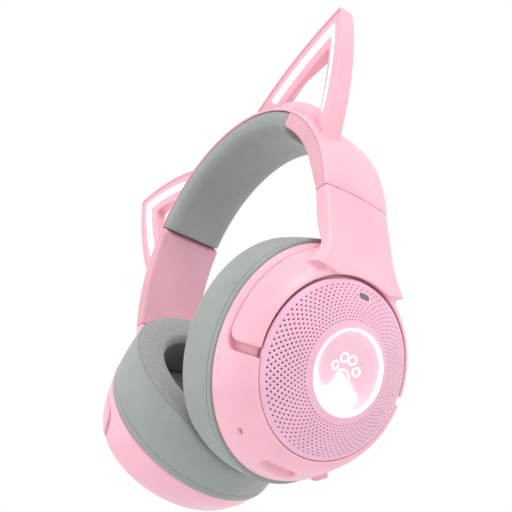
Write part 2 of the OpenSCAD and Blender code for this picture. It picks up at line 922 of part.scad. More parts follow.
headband_outer_shell();
headband_inner_frame();
headband_spring_band();
headband_pad();
headband_screws();
headband_screw_covers();
headband_wire();
ear_frame_left();
ear_frame_right();
ear_rear_cover_left();
ear_rear_cover_right();
ear_light_strip_left();
ear_light_strip_right();
ear_led_board_left();
ear_led_board_right();
slider_guide_left();
slider_guide_right();
detent_spring_left();
detent_spring_right();
yoke_left();
yoke_right();
slider_strip_left();
slider_strip_right();
slider_screws_left();
slider_screws_right();
pivot_pins_left();
pivot_pins_right();
cup_housing_left();
cup_housing_right();
baffle_left();
baffle_right();
baffle_screws_left();
baffle_screws_right();
grille_left();
grille_right();
centre_cap_left();
centre_cap_right();
light_ring_left();
light_ring_right();
emblem_light_left();
emblem_light_right();
cup_led_board_left();
cup_led_board_right();
driver_left();
driver_right();
driver_diaphragm_left();
driver_diaphragm_right();
driver_cloth_left();
driver_cloth_right();
ear_cushion_left();
ear_cushion_right();
cushion_ring_left();
cushion_ring_right();
main_board();
battery();
usb_socket();
microphone();
power_button();
volume_up_button();
volume_down_button();
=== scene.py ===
import math

import bmesh
import bpy
import numpy as np
from mathutils import Matrix, Vector, kdtree


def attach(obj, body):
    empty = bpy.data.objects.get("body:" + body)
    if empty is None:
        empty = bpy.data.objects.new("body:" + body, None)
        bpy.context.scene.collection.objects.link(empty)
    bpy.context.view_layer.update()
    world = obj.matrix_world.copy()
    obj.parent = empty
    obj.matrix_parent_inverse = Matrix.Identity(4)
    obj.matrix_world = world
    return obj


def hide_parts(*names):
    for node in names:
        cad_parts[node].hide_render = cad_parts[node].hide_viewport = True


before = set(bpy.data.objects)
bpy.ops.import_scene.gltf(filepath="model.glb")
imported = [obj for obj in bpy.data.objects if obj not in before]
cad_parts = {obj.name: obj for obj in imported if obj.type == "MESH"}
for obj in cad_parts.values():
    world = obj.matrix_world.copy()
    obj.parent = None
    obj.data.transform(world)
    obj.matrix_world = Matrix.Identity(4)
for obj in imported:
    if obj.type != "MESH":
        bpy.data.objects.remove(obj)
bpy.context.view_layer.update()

# The headset's shapes are worked out in millimetres, in three frames:
# the headset's own, the arc frame (origin at the middle of the headband's arc), and each cup's own
# (x outwards through the grille, y to the back, z up the cup, origin in the middle of the grille).
MM = 0.001
CUP_X = 58.9
CUP_Z = 33.12
ARC_Z = CUP_Z + 78.6
LEAN = math.radians(30.8)
SIDES = {"left": 1, "right": -1}

BAND_R = 78.0
BAND_FRONT = -17.2
BAND_BACK = 19.2
BAND_MID = (BAND_FRONT + BAND_BACK) / 2
BAND_HALF = (BAND_BACK - BAND_FRONT) / 2
CROWN = 1.4
SEAM_R = 76.5
JOINT_Z = -6.85
JOINT_GAP = 0.3
PAD_END = 48.2

GRILLE_R = 35.0
DOME_R = 70.0
RING_R = 16.8
SHELL_BACK = -20.3
YOKE_BACK = -14.5
YOKE_LOW = -2.0
YOKE_T = 3.0
YOKE_GAP = 0.5
SLOT_LOW = -5.5
WALL_T = 2.2


# ---------- Mesh tools ----------

def add_piece(name, points, faces, body, materials, zones=None):
    """A smooth-shaded mesh of points in millimetres that rides on a body."""
    mesh = bpy.data.meshes.new(name)
    mesh.from_pydata((np.asarray(points, float) * MM).tolist(), [], [list(map(int, f)) for f in faces])
    for material in materials:
        mesh.materials.append(material)
    mesh.polygons.foreach_set("use_smooth", [True] * len(mesh.polygons))
    if zones is not None:
        mesh.polygons.foreach_set("material_index", [int(z) for z in zones])
    mesh.update()
    piece = bpy.data.objects.new(name, mesh)
    bpy.context.scene.collection.objects.link(piece)
    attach(piece, body)
    return piece


def lattice(rows, columns, wrap_rows=False, wrap_columns=False):
    """Quads of a grid whose points are listed row after row."""
    r = np.arange(rows if wrap_rows else rows - 1)
    c = np.arange(columns if wrap_columns else columns - 1)
    r, c = (a.ravel() for a in np.meshgrid(r, c, indexing="ij"))
    r2, c2 = (r + 1) % rows, (c + 1) % columns
    return np.stack([r * columns + c, r2 * columns + c, r2 * columns + c2, r * columns + c2], 1)


def sweep(rows):
    """Points and faces of a closed bar through rows of loops, with a flat cap at either end."""
    rows = np.asarray(rows, float)
    count, size = rows.shape[:2]
    faces = lattice(count, size, wrap_columns=True).tolist()
    faces.append(list(range(size)))
    faces.append([(count - 1) * size + i for i in reversed(range(size))])
    return rows.reshape(-1, 3), faces


def flipped(faces):
    return [list(reversed(list(f))) for f in faces]


def rounded(corners, steps=4):
    """A closed outline through corners (a, b, radius), each rounded with an arc."""
    out = []
    count = len(corners)
    for i, (a, b, radius) in enumerate(corners):
        p = np.array([a, b])
        back = np.array(corners[i - 1][:2]) - p
        on = np.array(corners[(i + 1) % count][:2]) - p
        back_length, on_length = np.linalg.norm(back), np.linalg.norm(on)
        back, on = back / back_length, on / on_length
        half = math.acos(max(-1.0, min(1.0, float(back @ on)))) / 2
        cut = min(radius / math.tan(half), 0.45 * back_length, 0.45 * on_length)
        true_radius = cut * math.tan(half)
        middle = back + on
        middle = p + middle / np.linalg.norm(middle) * math.hypot(cut, true_radius)
        start, end = p + back * cut - middle, p + on * cut - middle
        turn = math.atan2(start[0] * end[1] - start[1] * end[0], float(start @ end))
        for k in range(steps + 1):
            angle = turn * k / steps
            c, s = math.cos(angle), math.sin(angle)
            out.append(middle + [c * start[0] - s * start[1], s * start[0] + c * start[1]])
    return np.array(out)


def smooth_step(x):
    t = np.clip(x, 0, 1)
    return t * t * (3 - 2 * t)


def smax(a, b, k):
    """Intersection of two regions, with the edge between them rounded over about k."""
    return np.maximum(a, b) + np.maximum(k - np.abs(a - b), 0) ** 2 / (4 * k)


def smin(a, b, k):
    """Union of two regions, with the crease between them filled over about k."""
    return -smax(-a, -b, k)


def rounded_corner(a, b, radius):
    """Intersection of two flat-sided regions with a true round corner."""
    return np.hypot(np.maximum(a + radius, 0), np.maximum(b + radius, 0)) + np.minimum(
        np.maximum(a, b), -radius)


def region_mesh(field, low, high, step, relax=3):
    """Points and quads of the surface on which field(x, y, z) is zero: one point for each cell that
    the surface crosses, then evened out and drawn back onto the surface."""
    axes = [np.arange(a, b + step, step) for a, b in zip(low, high)]
    grid = np.stack(np.meshgrid(*axes, indexing="ij"), -1)
    value = field(grid[..., 0], grid[..., 1], grid[..., 2])
    inside = value < 0
    shape = [len(a) - 1 for a in axes]

    def corner(array, offset):
        return array[tuple(slice(o, o + n) for o, n in zip(offset, shape))]

    offsets = [(i, j, k) for i in (0, 1) for j in (0, 1) for k in (0, 1)]
    count = sum(corner(inside, o).astype(np.int8) for o in offsets)
    cells = (count > 0) & (count < 8)
    index = np.full(shape, -1)
    index[cells] = np.arange(cells.sum())
    total, hits = np.zeros((cells.sum(), 3)), np.zeros(cells.sum())
    for a in offsets:
        for axis in range(3):
            if a[axis]:
                continue
            b = tuple(v + (i == axis) for i, v in enumerate(a))
            fa, fb = corner(value, a)[cells], corner(value, b)[cells]
            cross = (fa < 0) != (fb < 0)
            share = np.where(cross, fa / np.where(cross, fa - fb, 1), 0)
            point = corner(grid, a)[cells] + share[:, None] * (np.array(b) - a) * step
            total[cross] += point[cross]
            hits += cross
    points = total / hits[:, None]

    faces = []
    for axis in range(3):
        u, v = [i for i in range(3) if i != axis]
        first, second = [slice(None)] * 3, [slice(None)] * 3
        first[axis], second[axis] = slice(None, -1), slice(1, None)
        change = inside[tuple(first)] != inside[tuple(second)]
        where = np.argwhere(change)
        in_u = (where[:, u] > 0) & (where[:, u] < shape[u])
        in_v = (where[:, v] > 0) & (where[:, v] < shape[v])
        where = where[in_u & in_v]
        ring = []
        for du, dv in ((1, 1), (0, 1), (0, 0), (1, 0)):
            cell = where.copy()
            cell[:, u] -= du
            cell[:, v] -= dv
            ring.append(index[tuple(cell.T)])
        ring = np.stack(ring, 1)
        out = inside[tuple(where.T)]
        turn = out if axis != 1 else ~out
        ring[~turn] = ring[~turn][:, ::-1]
        faces.append(ring)
    faces = np.concatenate(faces)

    def drawn_to_surface(p):
        for _ in range(2):
            tiny = 0.02
            here = field(*p.T)
            slope = np.stack([(field(*(p + tiny * e).T) - field(*(p - tiny * e).T)) / (2 * tiny)
                              for e in np.eye(3)], 1)
            size = np.maximum((slope ** 2).sum(1), 0.05)
            move = -(here / size)[:, None] * slope
            length = np.linalg.norm(move, axis=1)
            move *= np.minimum(1, 0.6 * step / np.maximum(length, 1e-9))[:, None]
            p = p + move
        return p

    points = drawn_to_surface(points)
    edges = np.concatenate([faces[:, [i, (i + 1) % 4]] for i in range(4)])
    for _ in range(relax):
        mean, n = np.zeros_like(points), np.zeros(len(points))
        for a, b in ((0, 1), (1, 0)):
            np.add.at(mean, edges[:, a], points[edges[:, b]])
            np.add.at(n, edges[:, a], 1)
        points = drawn_to_surface(0.5 * points + 0.5 * mean / n[:, None])
    return points, faces


def from_cup(points, side):
    """Points in a cup's own frame, carried to the headset's frame."""
    p = np.asarray(points, float)
    x = CUP_X + p[:, 0] * math.cos(LEAN) + p[:, 2] * math.sin(LEAN)
    z = CUP_Z - p[:, 0] * math.sin(LEAN) + p[:, 2] * math.cos(LEAN)
    return np.stack([SIDES[side] * x, p[:, 1], z], 1)


def from_arc(points, side="left"):
    p = np.asarray(points, float)
    return np.stack([SIDES[side] * p[:, 0], p[:, 1], p[:, 2] + ARC_Z], 1)


def from_ear(points, side):
    """Points in an ear's frame, whose z runs out through the tip at 45 degrees."""
    p = np.asarray(points, float)
    s = math.sqrt(0.5)
    return from_arc(np.stack([(p[:, 0] + p[:, 2]) * s, p[:, 1], (p[:, 2] - p[:, 0]) * s], 1), side)


def cup_piece(name, side, points, faces, body, materials, zones=None):
    faces = faces if side == "left" else flipped(faces)
    return add_piece(f"{name}_{side}", from_cup(points, side), faces, f"{side}_{body}", materials,
                     zones)


# ---------- Materials ----------

def linear(rgb):
    """An sRGB colour, each part from 0 to 255, as linear RGBA."""
    c = np.array(rgb) / 255
    c = np.where(c <= 0.04045, c / 12.92, ((c + 0.055) / 1.055) ** 2.4)
    return [*c.tolist(), 1.0]


def new_material(name, roughness, metallic=0.0, coat=0.0, coat_roughness=0.1, sheen=0.0, specular=0.5):
    material = bpy.data.materials.new(name)
    material.use_nodes = True
    shader = material.node_tree.nodes["Principled BSDF"]
    shader.inputs["Roughness"].default_value = roughness
    shader.inputs["Metallic"].default_value = metallic
    shader.inputs["Coat Weight"].default_value = coat
    shader.inputs["Coat Roughness"].default_value = coat_roughness
    shader.inputs["Sheen Weight"].default_value = sheen
    shader.inputs["Specular IOR Level"].default_value = specular
    return material, material.node_tree, shader


def add_node(tree, kind, values=None, **settings):
    node = tree.nodes.new(kind)
    for key, value in settings.items():
        setattr(node, key, value)
    for key, value in (values or {}).items():
        node.inputs[key].default_value = value
    return node


def object_point(tree):
    return add_node(tree, "ShaderNodeTexCoord").outputs["Object"]


def noise(tree, scale, detail=2.0):
    node = add_node(tree, "ShaderNodeTexNoise", {"Scale": scale, "Detail": detail})
    tree.links.new(object_point(tree), node.inputs["Vector"])
    return node.outputs["Fac"]


def ramp(tree, value, low, high, from_value=0.3, to_value=0.7):
    """A colour that runs from low to high as value runs from from_value to to_value."""
    node = add_node(tree, "ShaderNodeValToRGB")
    node.color_ramp.elements[0].position = from_value
    node.color_ramp.elements[0].color = low
    node.color_ramp.elements[1].position = to_value
    node.color_ramp.elements[1].color = high
    tree.links.new(value, node.inputs["Fac"])
    return node.outputs["Color"]


def bump(tree, shader, height, strength, distance):
    node = add_node(tree, "ShaderNodeBump", {"Strength": strength, "Distance": distance})
    tree.links.new(height, node.inputs["Height"])
    tree.links.new(node.outputs["Normal"], shader.inputs["Normal"])


def moulded_plastic(name, rgb, roughness, coat=0.0, coat_roughness=0.12, metallic=0.0, grain=0.10):
    """Painted or moulded plastic: a fine spark-eroded grain and a faint drift of colour."""
    material, tree, shader = new_material(name, roughness, metallic, coat, coat_roughness)
    shade = [c * 0.955 for c in rgb]
    colour = ramp(tree, noise(tree, 45, 3.0), linear(shade), linear(rgb), 0.25, 0.6)
    tree.links.new(colour, shader.inputs["Base Color"])
    rough = add_node(tree, "ShaderNodeMapRange", {"To Min": roughness * 0.9, "To Max": roughness * 1.12})
    tree.links.new(noise(tree, 700, 2.0), rough.inputs["Value"])
    tree.links.new(rough.outputs["Result"], shader.inputs["Roughness"])
    bump(tree, shader, noise(tree, 2600, 2.0), grain, 0.00006)
    return material


def leatherette(name, rgb, roughness=0.5):
    """Smooth protein leather: fine pebbles over shallow wide folds."""
    material, tree, shader = new_material(name, roughness, sheen=0.15)
    colour = ramp(tree, noise(tree, 60, 4.0), linear([c * 0.95 for c in rgb]), linear(rgb))
    tree.links.new(colour, shader.inputs["Base Color"])
    cells = add_node(tree, "ShaderNodeTexVoronoi", {"Scale": 1500.0}, feature="DISTANCE_TO_EDGE")
    tree.links.new(object_point(tree), cells.inputs["Vector"])
    pebbles = add_node(tree, "ShaderNodeMapRange", {"From Max": 0.25})
    tree.links.new(cells.outputs["Distance"], pebbles.inputs["Value"])
    both = add_node(tree, "ShaderNodeMath", operation="MULTIPLY_ADD")
    both.inputs[1].default_value = 3.0
    tree.links.new(noise(tree, 240, 3.0), both.inputs[0])
    tree.links.new(pebbles.outputs["Result"], both.inputs[2])
    bump(tree, shader, both.outputs["Value"], 0.28, 0.00010)
    return material


def woven(name, rgb, scale, sheen=0.4, depth=0.00018, contrast=0.86):
    """Plain weave of threads, from crossed waves that are broken up a little by noise."""
    material, tree, shader = new_material(name, 0.85, sheen=sheen, specular=0.25)
    point = object_point(tree)
    waves = []
    for axis in "XZ":
        wave = add_node(tree, "ShaderNodeTexWave", {"Scale": scale, "Distortion": 0.6, "Detail": 1.0},
                        wave_type="BANDS", bands_direction=axis)
        tree.links.new(point, wave.inputs["Vector"])
        waves.append(wave.outputs["Fac"])
    weave = add_node(tree, "ShaderNodeMath", operation="MAXIMUM")
    tree.links.new(waves[0], weave.inputs[0])
    tree.links.new(waves[1], weave.inputs[1])
    mixed = add_node(tree, "ShaderNodeMath", operation="MULTIPLY")
    tree.links.new(weave.outputs["Value"], mixed.inputs[0])
    tree.links.new(ramp(tree, noise(tree, 500, 4.0), [0.55] * 3 + [1], [1, 1, 1, 1]), mixed.inputs[1])
    colour = ramp(tree, mixed.outputs["Value"], linear([c * contrast for c in rgb]), linear(rgb), 0.2, 0.9)
    tree.links.new(colour, shader.inputs["Base Color"])
    bump(tree, shader, mixed.outputs["Value"], 0.5, depth)
    return material


def glowing(name, rgb, strength):
    """A milky light guide: lit from inside, with its light drifting a little along its length."""
    material, tree, shader = new_material(name, 0.35, coat=0.3)
    shader.inputs["Base Color"].default_value = linear(rgb)
    glow = ramp(tree, noise(tree, 90, 2.0), linear([c * 0.97 for c in rgb]), linear(rgb))
    tree.links.new(glow, shader.inputs["Emission Color"])
    shader.inputs["Emission Strength"].default_value = strength
    bump(tree, shader, noise(tree, 1800, 2.0), 0.05, 0.00005)
    return material


def brushed_metal(name, rgb, roughness=0.3):
    material, tree, shader = new_material(name, roughness, metallic=1.0)
    colour = ramp(tree, noise(tree, 300, 4.0), linear([c * 0.85 for c in rgb]), linear(rgb))
    tree.links.new(colour, shader.inputs["Base Color"])
    stretched = add_node(tree, "ShaderNodeMapping", {"Scale": (40, 40, 900)})
    tree.links.new(object_point(tree), stretched.inputs["Vector"])
    lines = add_node(tree, "ShaderNodeTexNoise", {"Scale": 4.0, "Detail": 3.0})
    tree.links.new(stretched.outputs["Vector"], lines.inputs["Vector"])
    bump(tree, shader, lines.outputs["Fac"], 0.15, 0.00005)
    return material


def circuit(name):
    """Green solder mask with faint copper runs under it."""
    material, tree, shader = new_material(name, 0.35, coat=0.4)
    cells = add_node(tree, "ShaderNodeTexVoronoi", {"Scale": 420.0}, distance="CHEBYCHEV")
    tree.links.new(object_point(tree), cells.inputs["Vector"])
    colour = ramp(tree, cells.outputs["Distance"], linear((20, 96, 52)), linear((38, 128, 70)), 0.2, 0.5)
    tree.links.new(colour, shader.inputs["Base Color"])
    bump(tree, shader, cells.outputs["Distance"], 0.2, 0.00005)
    return material


PINK = moulded_plastic("pink_shell", (243, 181, 197), 0.36, coat=0.25, coat_roughness=0.22)
# A darker copy of the shell's pink for the inner frame and its screw covers: painted shade, standing in for
# the shadow under the band.
SHADE_PAINTED_PINK = moulded_plastic("pink_frame", (228, 168, 182), 0.45)
GRILLE_PINK = moulded_plastic("pink_grille", (238, 180, 205), 0.3, coat=0.5, coat_roughness=0.25)
DISH_PINK = moulded_plastic("pink_dish", (242, 190, 208), 0.22, coat=0.8, coat_roughness=0.06, grain=0.03)
BUTTON_PINK = moulded_plastic("pink_button", (236, 172, 190), 0.4)
LEATHER = leatherette("grey_leatherette", (150, 156, 153))
LEATHER_DARK = leatherette("grey_inner_lining", (112, 115, 116), 0.6)
CLOTH = woven("grey_cloth", (164, 167, 165), 900)
SCRIM = woven("speaker_scrim", (104, 106, 110), 1100, sheen=0.2)
THREAD = woven("seam_thread", (118, 121, 121), 2500, sheen=0.1, depth=0.00005)
LIGHT = glowing("light_diffuser", (255, 250, 253), 1.6)
LINER = woven("grille_liner", (124, 62, 94), 1500, sheen=0.1)
BLACK = moulded_plastic("black_plastic", (34, 34, 37), 0.5)
SMOKED = moulded_plastic("smoked_window", (92, 84, 90), 0.15, coat=1.0, coat_roughness=0.03)
STEEL = brushed_metal("spring_steel", (196, 198, 202))
BOARD = circuit("circuit_board")
FILM = moulded_plastic("diaphragm_film", (196, 200, 206), 0.25, coat=0.6)
POUCH = brushed_metal("battery_pouch", (200, 202, 208), 0.4)


# ---------- Headband ----------

def arc_loop(section, theta):
    """A section drawn as (radius, y), placed at an angle from the top of the arc."""
    radius, y = section.T
    return np.stack([radius * np.sin(theta), y, radius * np.cos(theta)], 1)


def arc_rows(angles, section, end_z=None):
    """Loops of a section drawn as (radius, y), one at each share of the way from end to end.
    With end_z, the two ends lie in the flat plane z = end_z."""
    rows = []
    for a in angles:
        theta = np.full(len(section), a) if end_z is None else a * np.arccos(end_z / section[:, 0])
        rows.append(arc_loop(section, theta))
    return rows


def crown_points(count=14, edge=1.3):
    """The band's outer face from front to back, as (radius, y, corner radius)."""
    y = np.linspace(BAND_FRONT + edge, BAND_BACK - edge, count)
    t = (y - BAND_MID) / BAND_HALF
    return [(BAND_R + CROWN * (1 - v * v), w, 6.0) for v, w in zip(t, y)]


def outer_shell():
    inner_r = SEAM_R - 0.3
    outline = [(SEAM_R + 0.05, BAND_FRONT, 0.25), (BAND_R - 0.1, BAND_FRONT, 1.1)]
    outline += crown_points()
    outline += [(BAND_R - 0.1, BAND_BACK, 1.1), (SEAM_R + 0.05, BAND_BACK, 0.25),
                (SEAM_R + 0.05, BAND_BACK - 2, 0.1), (inner_r, BAND_BACK - 3, 0.2),
                (inner_r, BAND_FRONT + 3, 0.2), (SEAM_R + 0.05, BAND_FRONT + 2, 0.1)]
    section = rounded(outline)
    shares = np.linspace(-1, 1, 200)
    points, faces = sweep(arc_rows(shares, section, JOINT_Z))
    piece = add_piece("outer_shell", from_arc(points), faces, "headband", [PINK])
    end_bevel(piece, 0.25)
    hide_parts("headband_outer_shell")


def end_bevel(piece, width):
    """Rounds only the sharp edges, such as the rims of a bar's flat ends."""
    modifier = piece.modifiers.new("edges", "BEVEL")
    modifier.width = width * MM
    modifier.segments = 2
    modifier.limit_method = "ANGLE"
    modifier.angle_limit = math.radians(50)


ARM_IN = 69.3
ARM_END_X = 71.3
ARM_TAPER_Z = 11.5
WEB_IN = 72.9
WEB_STEP = 2.2
PAD_TOP = 76.1
PAD_CROWN = 6.7


def arm_inner_radius(theta):
    """Distance of the inner frame's inner face from the arc's centre, at an angle from the top."""
    rise = smooth_step((abs(theta) - math.radians(PAD_END - 0.2)) / math.radians(2.6)) ** 0.6
    radius = WEB_IN + (ARM_IN - WEB_IN) * rise
    z = radius * math.cos(theta)
    if z < ARM_TAPER_Z:
        share = (ARM_TAPER_Z - z) / (ARM_TAPER_Z - JOINT_Z)
        top_x = math.sqrt(ARM_IN ** 2 - ARM_TAPER_Z ** 2)
        x = top_x + (ARM_END_X - top_x) * share
        radius = math.hypot(x, z)
    return radius


def inner_frame():
    """The frame under the outer shell, which thickens into an arm on either side below the pad."""
    end = math.acos(JOINT_Z / 74)
    pad = math.radians(PAD_END)
    down = np.concatenate([np.linspace(0, pad - 0.02, 50), np.linspace(pad - 0.01, pad + 0.06, 22),
                           np.linspace(pad + 0.08, end, 60)])
    rows = []
    for theta in np.concatenate([-down[:0:-1], down]):
        inner = arm_inner_radius(theta)
        soft = 0.3 + 0.9 * smooth_step((WEB_IN - inner) / 2)
        step = WEB_STEP * (1 - smooth_step((abs(theta) - pad) / 0.02))
        corners = [(inner, BAND_FRONT + step, soft), (SEAM_R - 0.1, BAND_FRONT + step, 0.25),
                   (SEAM_R - 0.1, BAND_BACK - step, 0.25), (inner, BAND_BACK - step, soft)]
        section = rounded(corners, 5)
        last = abs(abs(theta) - end) < 1e-6
        if last:
            angle = np.sign(theta) * np.arccos(JOINT_Z / section[:, 0])
        else:
            angle = np.full(len(section), theta)
        rows.append(arc_loop(section, angle))
    points, faces = sweep(rows)
    # The frame's darker pink is painted shade.
    piece = add_piece("inner_frame", from_arc(points), faces, "headband", [SHADE_PAINTED_PINK])
    end_bevel(piece, 0.3)
    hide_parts("headband_inner_frame")


def head_pad():
    """Foam pad under the band: crowned towards the head, and wrapped round both edges of the frame."""
    half, web = BAND_HALF - 0.35, BAND_HALF - WEB_STEP - 0.05
    across = []
    for t in np.linspace(-1, 1, 41):
        across.append((WEB_IN - 0.4 - PAD_CROWN * (1 - abs(t) ** 3.6) ** 0.5, BAND_MID + half * t))
    edges = [(-web, WEB_IN + 0.02), (-web, PAD_TOP), (-half + 0.5, PAD_TOP), (-half, PAD_TOP - 0.5)]
    outline = [(r, BAND_MID + y) for y, r in edges] + across + [(r, BAND_MID - y) for y, r in edges[::-1]]
    section = np.array(outline)
    end = math.radians(PAD_END)
    rows = []
    for a in np.concatenate([[-1, -0.9995, -0.998, -0.995], np.linspace(-0.985, 0.985, 120),
                             [0.995, 0.998, 0.9995, 1]]):
        inset = 0.9 * (1 - math.sqrt(max(0.0, 1 - max(0.0, (abs(a) - 0.985) / 0.015) ** 2)))
        loop = section.copy()
        loop[:, 0] = np.where(loop[:, 0] < WEB_IN - 0.3, loop[:, 0] + inset, loop[:, 0])
        loop[:, 1] = BAND_MID + (loop[:, 1] - BAND_MID) * (1 - inset / 40)
        rows.append(arc_loop(loop, a * end))
    points, faces = sweep(rows)
    piece = add_piece("head_pad", from_arc(points), flipped(faces), "headband", [LEATHER])
    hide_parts("headband_pad")


# ---------- Cat ears ----------

EAR_SIDE = np.array([120.2, 25.1])
EAR_R = 162.0
EAR_FRONT = -14.0
EAR_FACE = -13.2
EAR_SLOPE = 0.44
EAR_WINDOW = 13.0
RIM_W = 1.2
STRIP_FROM = 5.8
STRIP_TO = 9.0
COVER_FROM = 1.6
COVER_TO = 9.1
COVER_GAP = 0.15
SILL_R = 84.5
EAR_LOW = 81.0
EAR_SEAT = 78.9


def ear_point(share, d, base_r=77.0):
    """Point of the ear's outline set in by d: share runs from one foot (0) over the tip to the other (1)."""
    side = 1 if share > 0.5 else -1
    t = 1 - abs(share - 0.5) * 2
    radius = EAR_R - d
    tip = max(2.0 - d, 0.7)
    reach = np.linalg.norm(EAR_SIDE)
    foot = math.acos((radius ** 2 + reach ** 2 - base_r ** 2) / (2 * radius * reach)) - math.atan2(
        EAR_SIDE[1], EAR_SIDE[0])
    top = math.acos(EAR_SIDE[0] / (radius - tip))
    straight = 0.9
    if t < straight:
        a = foot + (top - foot) * t / straight
        x, z = EAR_SIDE[0] - radius * math.cos(a), EAR_SIDE[1] + radius * math.sin(a)
    else:
        a = top + (math.pi / 2 - top) * (t - straight) / (1 - straight)
        centre_z = EAR_SIDE[1] + math.sqrt((radius - tip) ** 2 - EAR_SIDE[0] ** 2)
        x, z = -tip * math.cos(a), centre_z + tip * math.sin(a)
    return (-side * x if side > 0 else x), z


def ear_back(z):
    """Where the ear's back lies at height z: it leans forward a little towards the tip."""
    return -3.9 - (z - EAR_SEAT) * 0.045


def ear_shares():
    low = ear_share_at(EAR_LOW)
    arm = np.concatenate([np.linspace(0, low - 0.002, 9), np.linspace(low, 0.45, 42)])
    tip = np.linspace(0.45, 0.5, 9)[1:]
    half = np.concatenate([arm, tip])
    return np.concatenate([half, 1 - half[-2::-1]])


def ear_share_at(height, d=7.2):
    """Share of the way from the foot at which the line set in by d reaches a height."""
    low, high = 0.0, 0.45
    for _ in range(40):
        middle = (low + high) / 2
        low, high = (middle, high) if ear_point(middle, d)[1] < height else (low, middle)
    return low


def ear_bar(shares, loop_at):
    """A bar along the ear's outline. loop_at(share, height) gives its section as (inset, y) points."""
    rows = []
    for share in shares:
        height = ear_point(share, 5)[1]
        loop = loop_at(share, height)
        places = [ear_point(share, d) for d, _ in loop]
        rows.append([[x, y, z] for (x, z), (_, y) in zip(places, loop)])
    return sweep(rows)


def slope_y(d):
    """Depth of the ear's lit face, which slopes back towards the window."""
    return EAR_FACE + EAR_SLOPE * max(0.0, d - STRIP_FROM)


def ear(side):
    low = ear_share_at(EAR_LOW)

    def frame_loop(share, height):
        lit = low - 0.001 < share < 1 - low + 0.001
        groove = 1.8 if lit else 0.01
        pocket = 1.5 if lit else 0.01
        back = ear_back(height)
        rim = np.interp(height, [120, 127, 131, 134], [back, back - 1, back - 3.5, back - 6.5])
        inner_back = max(-8 + (height - 96.6) * 0.15, slope_y(EAR_WINDOW) + 0.6)
        return rounded([
            (0, EAR_FRONT, 0.45), (RIM_W, EAR_FRONT, 0.25), (RIM_W, slope_y(RIM_W), 0.15),
            (STRIP_FROM, slope_y(STRIP_FROM), 0.15), (STRIP_FROM, slope_y(STRIP_FROM) + groove, 0.1),
            (STRIP_TO, slope_y(STRIP_TO) + groove, 0.1), (STRIP_TO, slope_y(STRIP_TO), 0.15),
            (EAR_WINDOW, slope_y(EAR_WINDOW), 0.3), (EAR_WINDOW, inner_back, 0.25),
            (COVER_TO, back, 0.15), (COVER_TO, back - pocket, 0.1),
            (COVER_FROM, back - pocket, 0.1), (COVER_FROM, back, 0.15), (0, rim, 0.6)], 3)

    def strip_loop(share, height):
        ends = min(share - low, 1 - low - share) / 0.012
        width = (STRIP_TO - STRIP_FROM - 0.1) / 2 * math.sqrt(max(0.02, 1 - max(0, 1 - ends) ** 2))
        middle = (STRIP_FROM + STRIP_TO) / 2
        inner, outer = middle - width, middle + width
        return rounded([(inner, slope_y(inner) - 0.12, 0.15), (inner, slope_y(inner) + 1.2, 0.1),
                        (outer, slope_y(outer) + 1.2, 0.1), (outer, slope_y(outer) - 0.12, 0.15)], 3)

    def cover_loop(share, height):
        back = ear_back(height)
        start, stop = COVER_FROM + COVER_GAP, COVER_TO - COVER_GAP
        return rounded([(start, back - 0.08, 0.25), (start, back - 1.4, 0.1),
                        (stop, back - 1.4, 0.1), (stop, back - 0.08, 0.25)], 3)

    def place(name, shares, loop, slot, material, node):
        points, faces = ear_bar(shares, loop)
        faces = faces if side == "left" else flipped(faces)
        piece = add_piece(f"{name}_{side}", from_ear(points, side), faces, "headband", [material])
        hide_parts(f"{node}_{side}")
        return piece

    place("ear_frame_trim", ear_shares(), frame_loop, "pink_shell", PINK, "ear_frame")
    inner = [s for s in ear_shares() if low < s < 1 - low]
    ends = [low + 0.0002, low + 0.002, low + 0.005]
    along = sorted(ends + inner + [1 - e for e in ends])
    place("ear_light", along, strip_loop, "light_diffuser", LIGHT, "ear_light_strip")
    place("ear_cover", [low + 0.002] + inner[1:-1] + [1 - low - 0.002], cover_loop, "pink_shell", PINK,
          "ear_rear_cover")
    ear_sill(side)


def ear_sill(side):
    """The bar that closes the bottom of the ear's window, along the top of the band."""
    rows = []
    reach = math.radians(15)
    for share in np.linspace(-1, 1, 41):
        swell = smooth_step((1 - abs(share)) * 3)
        section = rounded([(77.6, -10.3 - 1.6 * swell, 0.3), (SILL_R, -10.15, 0.4), (SILL_R, -9.4, 0.3),
                           (77.6, -4.2, 0.3)], 3)
        rows.append(arc_loop(section, share * reach))
    points, faces = sweep(rows)
    faces = flipped(faces) if side == "left" else faces
    add_piece(f"ear_sill_{side}", from_ear(points, side), faces, "headband", [PINK])


# ---------- Cups ----------

# The cup's skin, as (x, half width, half height), from the grille's edge to past its back.
SKIN = ((0.6, 34.6, 34.6), (0, 36, 36), (-1.4, 38, 38), (-4.2, 39.6, 40.6), (-9, 41, 43.9), (-14, 41.9, 46.9),
        (-20.3, 42.7, 48.8), (-26, 43, 49.6), (-32, 43.2, 50))


def smooth_curve(knots, steps=16):
    """Points of a smooth curve through all but the first and last of the knots."""
    knots = np.array(knots, float)
    t = np.linspace(0, 1, steps, endpoint=False)[:, None]
    out = []
    for before, start, end, after in zip(knots, knots[1:], knots[2:], knots[3:]):
        out.append(start + 0.5 * t * (end - before + t * (2 * before - 5 * start + 4 * end - after + t * (
            3 * (start - end) + after - before))))
    return np.concatenate(out + [knots[-2:-1]])


SKIN_X, SKIN_Y, SKIN_Z = smooth_curve(SKIN)[::-1].T
SKIN_TURN = np.gradient(SKIN_Y, SKIN_X)


def body_field(x, y, z):
    """Rough distance from the cup's outer skin, negative inside."""
    half_y, half_z = np.interp(x, SKIN_X, SKIN_Y), np.interp(x, SKIN_X, SKIN_Z)
    reach = np.hypot(y, z * half_y / half_z)
    flank = (reach - half_y) / np.sqrt(1 + np.interp(x, SKIN_X, SKIN_TURN) ** 2)
    return smax(flank, x, 0.6)


